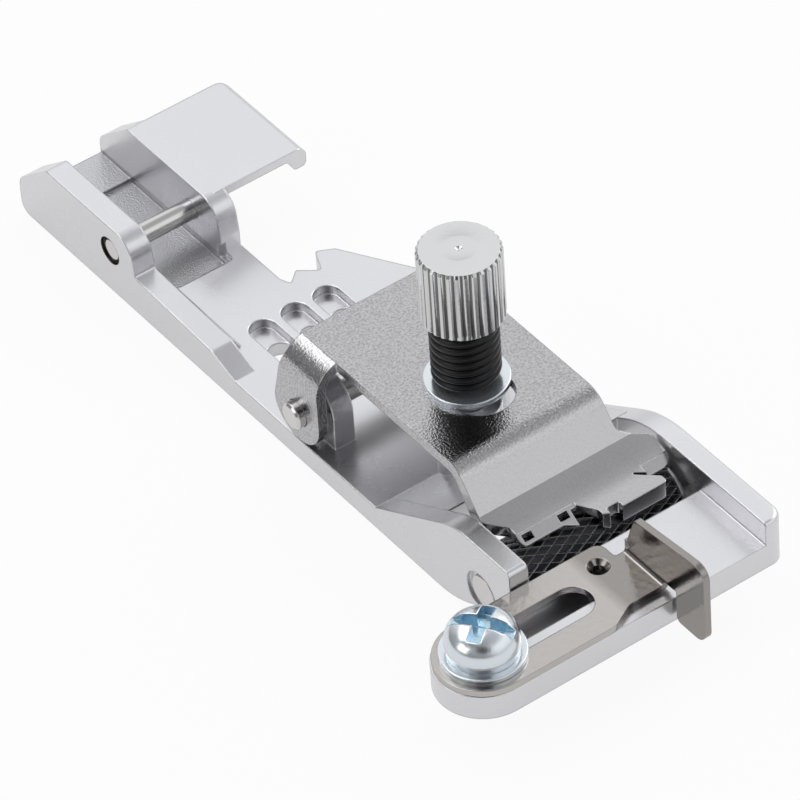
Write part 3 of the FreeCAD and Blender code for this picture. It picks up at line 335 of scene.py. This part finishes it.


# Pressure plate. Folded from spring sheet and nickel plated. Its top is rippled
# like orange peel, with painted shade laid in the hollows of the ripple, and its
# front below the bend is smooth. It turns on a ground pin.
bend_front = -0.0462
bend_back = -0.0446
front_ripple = 0.16
hollow_top = 0.60
hollow_bottom = 0.34
hollow_shade_strength = 0.50
hollow_shade_grey = (0.20, 0.195, 0.195)

bright_nickel = plated("bright_nickel", (0.53, 0.522, 0.535), roughness=0.17, spread=0.04,
                       grain=5200.0, depth=0.000030)
tree = bright_nickel.node_tree
ripple = rescaled(tree, measures(tree)["Y"], bend_front, bend_back, front_ripple, 1.0)
tree.links.new(ripple, tree.nodes["relief"].inputs["Strength"])
# Painted shade: the low points of the ripple are laid over with dark grey, fading out below the
# bend with the ripple.
painted_hollow_shade = rescaled(tree, tree.nodes["specks"].outputs["Fac"],
                   hollow_top, hollow_bottom, 0.0, hollow_shade_strength)
tinted(tree, reckoned(tree, "MULTIPLY", painted_hollow_shade, ripple), hollow_shade_grey)
dress("pressure_plate", bright_nickel)
dress("hinge_pin", ground_steel)


# Roller. A turned steel drum with a crossed knurl that grips the elastic: bright
# crests round sunk cells that are painted near black for the shade in them. It
# runs free on an axle pressed into the walls.
def choose(piece, kind, test):
    """Selects the faces, edges or points of a piece in edit mode that pass a test."""
    bpy.ops.mesh.select_mode(type={"faces": "FACE", "edges": "EDGE", "verts": "VERT"}[kind])
    bpy.ops.mesh.select_all(action="DESELECT")
    work = bmesh.from_edit_mesh(piece.data)
    for item in getattr(work, kind):
        if test(item):
            item.select_set(True)
    work.select_flush_mode()
    bmesh.update_edit_mesh(piece.data)


def draw_out(x, y, z):
    """Extrudes what is selected by a step."""
    bpy.ops.mesh.extrude_region_move(TRANSFORM_OT_translate={"value": (x, y, z)})


def close_edit():
    """Points all the faces outwards and leaves edit mode."""
    bpy.ops.mesh.select_all(action="SELECT")
    bpy.ops.mesh.normals_make_consistent(inside=False)
    bpy.ops.object.mode_set(mode="OBJECT")


def settle_place():
    """Writes the active piece's place into its mesh, so that it sits at the origin."""
    bpy.ops.object.transform_apply(location=True, rotation=True, scale=True)


def finished(piece, name, finish, node, rides=True):
    """Names a new piece, gives it its finish, and ties it to the solid it stands for."""
    piece.name = name
    piece.data.name = name
    piece.data.materials.clear()
    piece.data.materials.append(finish)
    if rides:
        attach(piece, frame["nodes"][node]["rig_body"])
    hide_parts(node)


roller_low, roller_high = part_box("roller")
roller_middle = (roller_low + roller_high) / 2
roller_radius = (roller_high.z - roller_low.z) / 2
roller_length = roller_high.x - roller_low.x
knurl_land = 0.0004
knurl_pitch = 0.00163
knurl_starts = 24
knurl_rows = round((roller_length - 2 * knurl_land) / knurl_pitch)
knurl_depth = 0.00024
knurl_crest = 0.000050
end_bevel_share = 0.94
bore_radius = 0.00145
hair = 1e-6

bpy.ops.object.select_all(action="DESELECT")
bpy.ops.mesh.primitive_cylinder_add(
    vertices=knurl_starts, radius=roller_radius, depth=roller_length - 2 * knurl_land,
    end_fill_type="NOTHING", location=roller_middle, rotation=(0.0, math.pi / 2, 0.0))
drum = bpy.context.object
settle_place()
bpy.ops.object.mode_set(mode="EDIT")
choose(drum, "edges", lambda edge: abs(edge.verts[0].co.x - edge.verts[1].co.x) > knurl_land)
bpy.ops.mesh.subdivide(number_cuts=knurl_rows - 1)
bpy.ops.mesh.select_all(action="SELECT")
bpy.ops.mesh.poke(offset=roller_radius * (1 - math.cos(math.pi / knurl_starts)))


def along_or_round(edge):
    """Whether an inner edge runs straight along the drum or straight round it."""
    run = abs(edge.verts[0].co.x - edge.verts[1].co.x)
    slanted = hair <= run <= 0.75 * roller_length / knurl_rows
    return not edge.is_boundary and not slanted


choose(drum, "edges", along_or_round)
bpy.ops.mesh.dissolve_edges(use_verts=False)
bpy.ops.mesh.select_all(action="SELECT")
bpy.ops.mesh.inset(
    thickness=knurl_crest, depth=-knurl_depth, use_individual=True, use_even_offset=True)
bpy.ops.object.mode_set(mode="OBJECT")
cell_faces = [face.index for face in drum.data.polygons if face.select]
bpy.ops.object.mode_set(mode="EDIT")
for end in (-1, 1):
    rim_x = roller_middle.x + end * (roller_length / 2 - knurl_land)
    choose(drum, "edges",
           lambda edge: edge.is_boundary and abs(edge.verts[0].co.x - rim_x) < 10 * hair)
    for reach, share in ((knurl_land / 2, 1.0), (knurl_land / 2, end_bevel_share),
                         (0.0, bore_radius / roller_radius / end_bevel_share)):
        draw_out(end * reach, 0.0, 0.0)
        bpy.ops.transform.resize(value=(1.0, share, share), center_override=roller_middle)
choose(drum, "edges", lambda edge: edge.is_boundary)
bpy.ops.mesh.bridge_edge_loops()
close_edit()
roller_steel = plated("roller_steel", (0.62, 0.62, 0.62), roughness=0.36, spread=0.06,
                      grain=3000.0, depth=0.000008, edge=0.00003)
# Painted shade: the sunk cells of the knurl get a near black finish for the shade in them.
knurl_cell_shade = plated("knurl_cell_shade", (0.035, 0.035, 0.04), roughness=0.34, spread=0.08,
                    grain=3000.0, depth=0.000010, edge=0.00003)
finished(drum, "knurled_roller", roller_steel, "roller")
drum.data.materials.append(knurl_cell_shade)
for index in cell_faces:
    drum.data.polygons[index].material_index = 1
dress("roller_axle", ground_steel)


# Thumbscrew. Turned from bar, its knob rolled with thirty straight ridges below
# a smooth bevelled top, which has a faint turned ring and a centre dimple. Shade
# is painted dark into the bottoms of the grooves.
knob_low, knob_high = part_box("thumbscrew")
knob_middle = (knob_low + knob_high) / 2
knob_radius = (knob_high.x - knob_low.x) / 2
knob_bottom = 0.0185
knob_ridges = 30
points_a_ridge = 6
groove_depth = 0.00024
groove_radius = knob_radius - groove_depth
knob_bevel = 0.00022
screw_radius = 0.0015
screw_tip = 0.0003
screw_tip_share = 0.82
many_sided = 8
ridge_points = (((0, 1, 2), 1.0), ((3, 5), 0.45))
top_insets = ((0.00170, 0.0), (0.00005, -0.000008), (0.00005, 0.000008), (0.00110, 0.0),
              (0.00004, -0.00002), (0.00016, -0.00010))
in_groove = 0.55
upright = 0.5

bpy.ops.object.select_all(action="DESELECT")
bpy.ops.mesh.primitive_cylinder_add(
    vertices=knob_ridges * points_a_ridge, radius=groove_radius, depth=knob_high.z - knob_bottom,
    location=(knob_middle.x, knob_middle.y, (knob_high.z + knob_bottom) / 2))
knob = bpy.context.object
settle_place()
bpy.ops.object.mode_set(mode="EDIT")
for level in (knob_high.z - knob_bevel, knob_bottom + knob_bevel):
    bpy.ops.mesh.select_all(action="SELECT")
    bpy.ops.mesh.bisect(plane_co=(0.0, 0.0, level), plane_no=(0.0, 0.0, 1.0))


def ridge_point(vert, wanted):
    """Whether a point of the knob's side is one of the wanted points of its ridge."""
    if not knob_bottom + knob_bevel / 2 < vert.co.z < knob_high.z - knob_bevel / 2:
        return False
    turn = math.atan2(vert.co.y - knob_middle.y, vert.co.x - knob_middle.x) / (2 * math.pi)
    return round(turn * knob_ridges * points_a_ridge) % points_a_ridge in wanted


def knob_end(face, level):
    """Whether a face is the knob's round end at a level."""
    return len(face.verts) > many_sided and abs(face.calc_center_median().z - level) < hair


for wanted, share in ridge_points:
    choose(knob, "verts", lambda vert: ridge_point(vert, wanted))
    swell = 1.0 + share * groove_depth / groove_radius
    bpy.ops.transform.resize(value=(swell, swell, 1.0), center_override=knob_middle)
choose(knob, "faces", lambda face: knob_end(face, knob_high.z))
for thickness, depth in top_insets:
    bpy.ops.mesh.inset(thickness=thickness, depth=depth)
choose(knob, "faces", lambda face: knob_end(face, knob_bottom))
bpy.ops.mesh.inset(thickness=groove_radius - screw_radius)
draw_out(0.0, 0.0, knob_low.z + screw_tip - knob_bottom)
draw_out(0.0, 0.0, -screw_tip)
bpy.ops.transform.resize(
    value=(screw_tip_share, screw_tip_share, 1.0), center_override=knob_middle)
close_edit()
bpy.ops.object.shade_smooth_by_angle(angle=math.radians(24))
knob_nickel = plated("knob_nickel", (0.66, 0.66, 0.66), roughness=0.18, spread=0.05,
                     grain=3600.0, depth=0.000008, edge=0.00003)
# Painted shade: the faces in the groove bottoms get a dark grey finish for the shade in them.
groove_shade = plated("groove_shade", (0.22, 0.22, 0.22), roughness=0.30, spread=0.05,
                     grain=3600.0, depth=0.000008, edge=0.00003)
finished(knob, "ridged_thumbscrew", knob_nickel, "thumbscrew")
knob.data.materials.append(groove_shade)
for face in knob.data.polygons:
    reach = math.hypot(face.center.x - knob_middle.x, face.center.y - knob_middle.y)
    on_knob = knob_bottom < face.center.z < knob_high.z
    if on_knob and 1.5 * screw_radius < reach < knob_radius - in_groove * groove_depth:
        face.material_index = int(abs(face.normal.z) < upright)


# Tension spring. Black spring wire, coiled close round the screw between the
# washer and the knob. The real spring draws out and closes up as the knob
# travels; this coil is built once at rest and rides on no body.
spring_low, spring_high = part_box("tension_spring")
spring_middle = (spring_low + spring_high) / 2
wire = 0.00078
wire_sides = 12
coil_turns = 7
steps_a_turn = 48
coil_radius = (spring_high.x - spring_low.x) / 2 - wire / 2
coil_pitch = (spring_high.z - spring_low.z - wire) / coil_turns

bpy.ops.object.select_all(action="DESELECT")
bpy.ops.mesh.primitive_circle_add(
    vertices=wire_sides, radius=wire / 2, fill_type="NGON", rotation=(math.pi / 2, 0.0, 0.0),
    location=(spring_middle.x + coil_radius, spring_middle.y, spring_low.z + wire / 2))
coil = bpy.context.object
settle_place()
coil.data.transform(Matrix.Translation((-spring_middle.x, -spring_middle.y, 0.0)))
wind = coil.modifiers.new("wind", "SCREW")
wind.axis = "Z"
wind.screw_offset = coil_pitch
wind.iterations = coil_turns
wind.steps = steps_a_turn
wind.render_steps = steps_a_turn
bpy.ops.object.modifier_apply(modifier="wind")
coil.data.transform(Matrix.Translation((spring_middle.x, spring_middle.y, 0.0)))
bpy.ops.object.mode_set(mode="EDIT")
bpy.ops.mesh.select_all(action="SELECT")
bpy.ops.mesh.remove_doubles(threshold=hair)
close_edit()
bpy.ops.object.shade_smooth()
black_wire = plated("black_wire", (0.006, 0.006, 0.007), metal=0.0, roughness=0.30,
                    spread=0.06, grain=2500.0, depth=0.000006, edge=0.00003)
black_wire.node_tree.nodes["Principled BSDF"].inputs["Specular IOR Level"].default_value = 0.3
finished(coil, "coiled_spring", black_wire, "tension_spring", rides=False)
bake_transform(coil)


# Guide screw. A zinc plated pan head, its blue tint strongest in the recess: a
# cross with one long arm that runs across the head. Its washers are stamped.
blue_zinc = plated("blue_zinc", (0.74, 0.79, 0.83), metal=0.88, roughness=0.19, spread=0.04,
                   grain=2500.0, depth=0.000010, edge=0.0002)
recess_blue = plated("recess_blue", (0.52, 0.69, 0.80), roughness=0.26, spread=0.05,
                     grain=2500.0, depth=0.000030, edge=0.0001)
for node in ("tension_washer", "guide_flat_washer", "guide_lock_washer"):
    dress(node, blue_zinc)

screw_low, screw_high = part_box("guide_screw")
screw_middle = (screw_low + screw_high) / 2
head_radius = (screw_high.x - screw_low.x) / 2
head_height = 0.0023
head_rim = 0.0004
head_foot = screw_high.z - head_height
head_sides = 72
head_fullness = 0.7
dome_steps = 9
under_bevel = 0.0002
facing = 0.9
punch_height = 0.002
recess_taper = 0.86

bpy.ops.object.select_all(action="DESELECT")
bpy.ops.mesh.primitive_cylinder_add(
    vertices=head_sides, radius=head_radius, depth=head_rim,
    location=(screw_middle.x, screw_middle.y, head_foot + head_rim / 2))
screw = bpy.context.object
settle_place()
bpy.ops.object.mode_set(mode="EDIT")
choose(screw, "faces", lambda face: face.normal.z > facing)
for step in range(dome_steps):
    low_turn = math.pi / 2 * step / (dome_steps + 1)
    high_turn = math.pi / 2 * (step + 1) / (dome_steps + 1)
    low_reach, high_reach = (math.cos(turn) ** head_fullness for turn in (low_turn, high_turn))
    bpy.ops.mesh.inset(
        thickness=head_radius * (low_reach - high_reach),
        depth=(head_height - head_rim) * (math.sin(high_turn) - math.sin(low_turn)))
choose(screw, "faces", lambda face: face.normal.z < -facing)
bpy.ops.mesh.inset(thickness=under_bevel, depth=under_bevel)
bpy.ops.mesh.inset(thickness=head_radius - under_bevel - screw_radius)
draw_out(0.0, 0.0, screw_low.z - head_foot - under_bevel)
bpy.ops.object.mode_set(mode="OBJECT")
finished(screw, "cross_head_screw", blue_zinc, "guide_screw")
screw.data.materials.append(recess_blue)

for name, across, length, sunk, turn in (
    ("long_arm", 0.00105, 0.0060, 0.00085, -55.0),
    ("short_arm", 0.00125, 0.0042, 0.00130, -55.0),
    ("cross_arm", 0.00115, 0.0044, 0.00120, 35.0),
):
    bpy.ops.object.select_all(action="DESELECT")
    bpy.ops.mesh.primitive_cube_add(
        size=1.0, rotation=(0.0, 0.0, math.radians(turn)), scale=(length, across, punch_height),
        location=(screw_middle.x, screw_middle.y, screw_high.z - sunk + punch_height / 2))
    punch = bpy.context.object
    settle_place()
    punch.data.materials.append(blue_zinc)
    punch.data.materials.append(recess_blue)
    for side in punch.data.polygons:
        side.material_index = 1
    bpy.ops.object.mode_set(mode="EDIT")
    choose(punch, "faces", lambda face: face.normal.z < -facing)
    bpy.ops.transform.resize(
        value=(recess_taper, recess_taper, 1.0), center_override=screw_middle)
    bpy.ops.object.mode_set(mode="OBJECT")
    bpy.ops.object.select_all(action="DESELECT")
    screw.select_set(True)
    bpy.context.view_layer.objects.active = screw
    cut = screw.modifiers.new(name, "BOOLEAN")
    cut.operation = "DIFFERENCE"
    cut.solver = "EXACT"
    cut.object = punch
    bpy.ops.object.modifier_apply(modifier=name)
    bpy.data.objects.remove(punch)
bpy.ops.object.shade_smooth_by_angle(angle=math.radians(32))


# Elastic guide. A slotted strip of nickel plated sheet that slides on the front
# bar, folded up at its end into the fence that the elastic runs against. Shade
# and a dark reflection are painted on the strip, darker towards the fence.
fence_shade_start = 0.0
fence_shade_end = 0.0012
fence_shade_strength = 0.55
fence_shade_brown = (0.17, 0.155, 0.145)

warm_nickel = plated("warm_nickel", (0.50, 0.475, 0.455), roughness=0.17, spread=0.05,
                     grain=1800.0, depth=0.000014)
tree = warm_nickel.node_tree
# Painted shade and reflection: the strip is laid over with dark brown that grows towards the
# fence.
fence_shade = rescaled(tree, measures(tree)["X"], fence_shade_start, fence_shade_end, 0.0, fence_shade_strength)
tinted(tree, fence_shade, fence_shade_brown)
dress("elastic_guide", warm_nickel)
